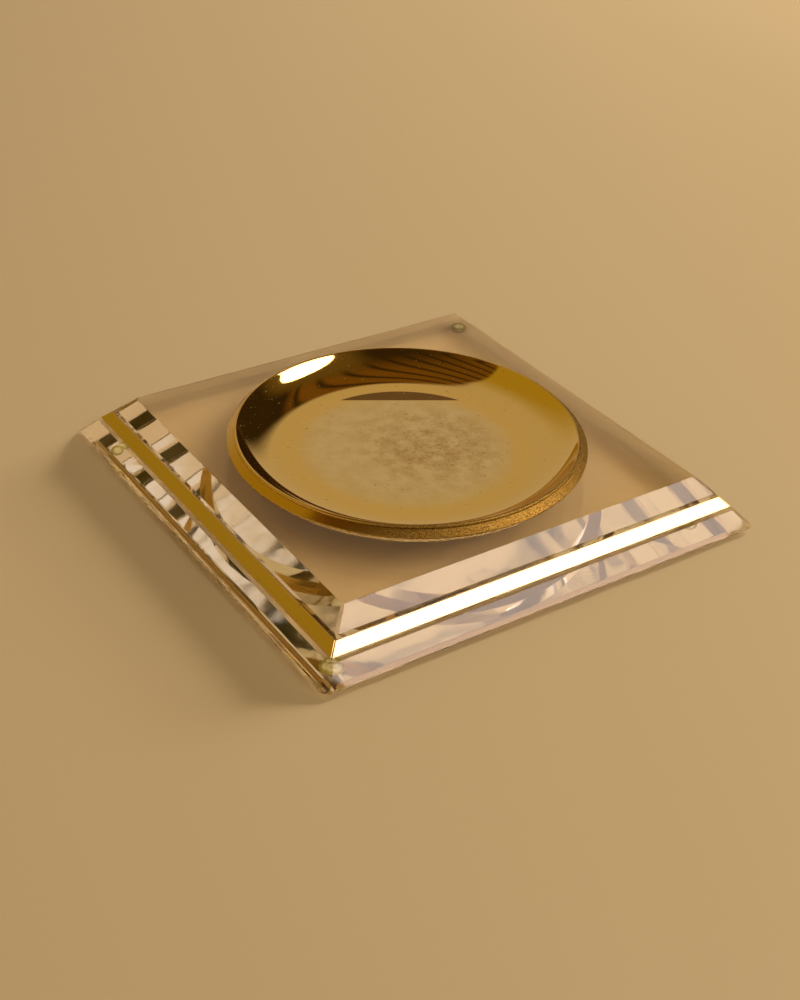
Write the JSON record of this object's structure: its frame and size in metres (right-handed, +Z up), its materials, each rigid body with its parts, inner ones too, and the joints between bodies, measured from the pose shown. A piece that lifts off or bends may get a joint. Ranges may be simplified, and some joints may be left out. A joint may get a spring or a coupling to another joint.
{
  "type": "trinket dish",
  "caption": "Shallow round brass bowl hung in a square clear acrylic block, with wide bevels that carry a mitred brass inlay, on soft bumper feet.",
  "frame": {"origin": "on the surface that the dish stands on, under the middle of its feet's box", "axes": "+Z up; +X and +Y along two sides of the square slab, away from its front corner"},
  "size_m": [0.26, 0.26, 0.0323],
  "materials": {
    "clear_acrylic": "polished clear cast acrylic",
    "inlay_brass": "satin flat bar",
    "bowl_brass": "polished spun sheet, lightly tarnished",
    "bumper": "yellowed clear bumper"
  },
  "bodies": {
    "block": {"clear_slab": "clear_acrylic", "inlay_bar_front_right": "inlay_brass", "inlay_bar_back_right": "inlay_brass", "inlay_bar_back_left": "inlay_brass", "inlay_bar_front_left": "inlay_brass", "bumper_foot_front": "bumper", "bumper_foot_right": "bumper", "bumper_foot_left": "bumper", "bumper_foot_back": "bumper"},
    "bowl": {"brass_bowl": "bowl_brass"}
  },
  "joints": [
    {"name": "bowl_lift", "type": "slide", "parent": "block", "child": "bowl", "axis": [0, 0, 1], "range_m": [0, 0.04]}
  ]
}
